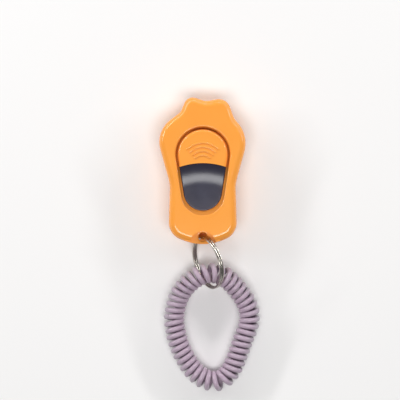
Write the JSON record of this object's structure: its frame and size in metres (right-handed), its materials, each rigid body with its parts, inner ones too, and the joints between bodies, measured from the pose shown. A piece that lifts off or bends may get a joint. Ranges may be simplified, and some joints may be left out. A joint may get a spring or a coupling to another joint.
{
  "type": "clicker trainer",
  "caption": "Palm-sized pet training clicker: lobed two-part case, hinged thumb button over a spring click plate, split ring and coiled wrist band.",
  "frame": {"origin": "middle of the case's flat back face, on the surface that it lies on", "axes": "+Z out of the front face with the button, +Y towards the lobed end, +X to the right seen from the front"},
  "size_m": [0.0425, 0.1242, 0.0211],
  "materials": {
    "case_plastic": "glossy moulded ABS",
    "pad_plastic": "satin soft-touch elastomer",
    "inner_plastic": "moulded",
    "steel": "zinc plated",
    "spring_steel": "blued strip",
    "ring_nickel": "nickel plated",
    "coil_plastic": "satin polyurethane"
  },
  "bodies": {
    "case": {"front_shell": "case_plastic", "back_shell": "case_plastic", "hinge_pin": "steel", "click_plate": "spring_steel", "plate_clamp": "inner_plastic", "clamp_screws": "steel", "case_screws": "steel"},
    "button": {"button_lever": "case_plastic", "thumb_pad": "pad_plastic"},
    "ring": {"split_ring": "ring_nickel"},
    "band": {"wrist_coil": "coil_plastic"}
  },
  "joints": [
    {"name": "button_press", "type": "hinge", "parent": "case", "child": "button", "pos_m": [0, 0.0195, 0.0093], "axis": [1, 0, 0], "range_deg": [0, 4], "stiffness_Nm_per_rad": 0.8, "springref_deg": -2.86, "deforming": ["click_plate"]},
    {"name": "ring_swing", "type": "hinge", "parent": "case", "child": "ring", "pos_m": [0, -0.02775, 0.012], "axis": [0, 0, 1], "range_deg": [-20, 20]},
    {"name": "band_lift", "type": "hinge", "parent": "ring", "child": "band", "pos_m": [0.002, -0.0432, 0.0078], "axis": [-0.9903, -0.1392, 0], "range_deg": [0, 90]}
  ]
}
